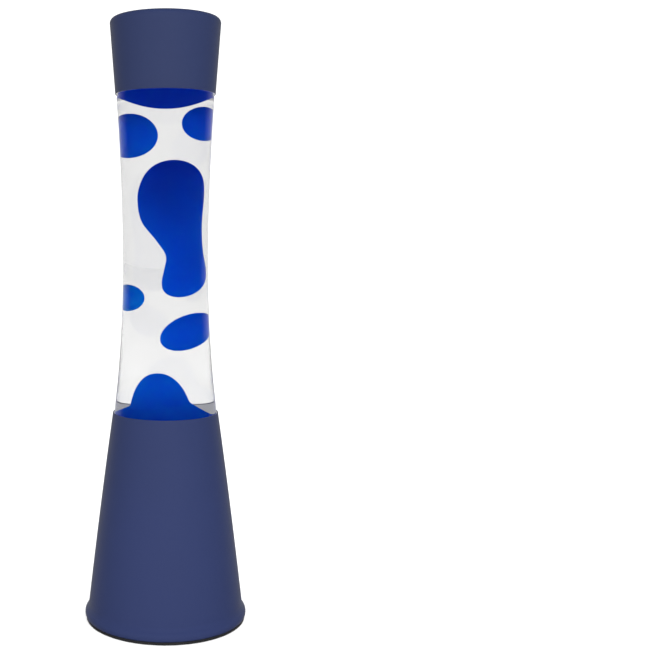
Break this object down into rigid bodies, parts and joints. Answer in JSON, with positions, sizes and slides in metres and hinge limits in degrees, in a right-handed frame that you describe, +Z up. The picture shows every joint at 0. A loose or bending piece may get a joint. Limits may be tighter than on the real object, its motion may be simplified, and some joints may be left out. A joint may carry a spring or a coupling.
{
  "type": "lava lamp",
  "caption": "Tapered metal base and cap around a waisted glass bottle in which coloured wax hangs, floats and rises in clear liquid, heated by a reflector bulb in the base.",
  "frame": {"origin": "centre of the base's underside, on the lamp's axis", "axes": "+Z up along the lamp's axis, -Y to the front; the cord inlet is at the rear, +Y"},
  "size_m": [0.108, 0.108, 0.395],
  "materials": {
    "paint": "fine-textured matt powder coat",
    "bottle_glass": "clear and polished",
    "wax": "translucent molten wax",
    "rubber": "moulded, matt",
    "silicone": "soft, satin",
    "foam": "closed-cell foam",
    "plated_steel": "zinc plated",
    "tin": "tinned and lacquered",
    "spring_steel": "drawn wire",
    "brass": "pressed",
    "nickel": "nickel-plated",
    "holder_plastic": "moulded, heat-proof",
    "insulator_glass": "black vitreous",
    "bulb_glass": "silvered on its flanks, frosted on its face",
    "stem_glass": "clear",
    "tungsten": "drawn wire",
    "brown_sleeve": "wire insulation",
    "blue_sleeve": "wire insulation"
  },
  "bodies": {
    "base": {"base_shell": "paint", "inlet_grommet": "rubber", "foot_ring": "rubber", "base_plate": "plated_steel", "plate_lug_1": "plated_steel", "plate_lug_2": "plated_steel", "plate_lug_3": "plated_steel", "plate_screw_1": "plated_steel", "plate_screw_2": "plated_steel", "plate_screw_3": "plated_steel", "bottle_seat": "plated_steel", "seat_gasket": "silicone", "holder_bracket": "plated_steel", "bracket_screw_1": "plated_steel", "bracket_screw_2": "plated_steel", "bulb_holder": "holder_plastic", "holder_bolt": "brass", "holder_nut": "plated_steel", "holder_contact": "brass", "holder_sleeve": "brass", "terminal_block": "holder_plastic", "terminal_screw_1": "plated_steel", "terminal_screw_2": "plated_steel", "lead_live": "brown_sleeve", "lead_neutral": "blue_sleeve"},
    "bulb_carrier": {"bulb_tip_contact": "nickel"},
    "bulb": {"bulb_screw_shell": "nickel", "bulb_insulator": "insulator_glass", "bulb_glass": "bulb_glass", "bulb_stem": "stem_glass", "filament_support_1": "spring_steel", "filament_support_2": "spring_steel", "filament": "tungsten"},
    "bottle": {"bottle_glass": "bottle_glass", "crown_liner": "silicone", "crown_cap": "tin", "heating_coil": "spring_steel", "wax_mound": "wax", "wax_top_pool": "wax"},
    "large_blob": {"wax_blob_large": "wax"},
    "upper_left_blob": {"wax_blob_upper_left": "wax"},
    "upper_right_blob": {"wax_blob_upper_right": "wax"},
    "small_left_blob": {"wax_blob_small_left": "wax"},
    "lower_right_blob": {"wax_blob_lower_right": "wax"},
    "cap": {"cap_shell": "paint", "cap_foam_pad": "foam"}
  },
  "joints": [
    {"name": "bottle_lift", "type": "slide", "parent": "base", "child": "bottle", "axis": [0, 0, 1], "range_m": [0, 0.045]},
    {"name": "cap_lift", "type": "slide", "parent": "bottle", "child": "cap", "axis": [0, 0, 1], "range_m": [0, 0.06]},
    {"name": "bulb_rise", "type": "slide", "parent": "base", "child": "bulb_carrier", "axis": [0, 0, 1], "range_m": [0, 0.0113]},
    {"name": "bulb_turn", "type": "hinge", "parent": "bulb_carrier", "child": "bulb", "pos_m": [0, 0, 0.05], "axis": [0, 0, 1], "range_deg": [0, 1440]},
    {"name": "large_blob_drift", "type": "slide", "parent": "bottle", "child": "large_blob", "axis": [0, 0, 1], "range_m": [-0.004, 0.006]},
    {"name": "upper_left_blob_drift", "type": "slide", "parent": "bottle", "child": "upper_left_blob", "axis": [0, 0, 1], "range_m": [-0.005, 0.002]},
    {"name": "upper_right_blob_drift", "type": "slide", "parent": "bottle", "child": "upper_right_blob", "axis": [0, 0, 1], "range_m": [-0.004, 0.0015]},
    {"name": "small_left_blob_drift", "type": "slide", "parent": "bottle", "child": "small_left_blob", "axis": [0, 0, 1], "range_m": [-0.008, 0.008]},
    {"name": "lower_right_blob_drift", "type": "slide", "parent": "bottle", "child": "lower_right_blob", "axis": [0, 0, 1], "range_m": [-0.005, 0.003]}
  ],
  "couplings": [
    {"joint": "bulb_rise", "follows": "bulb_turn", "m_per_rad": 0.00044913}
  ]
}
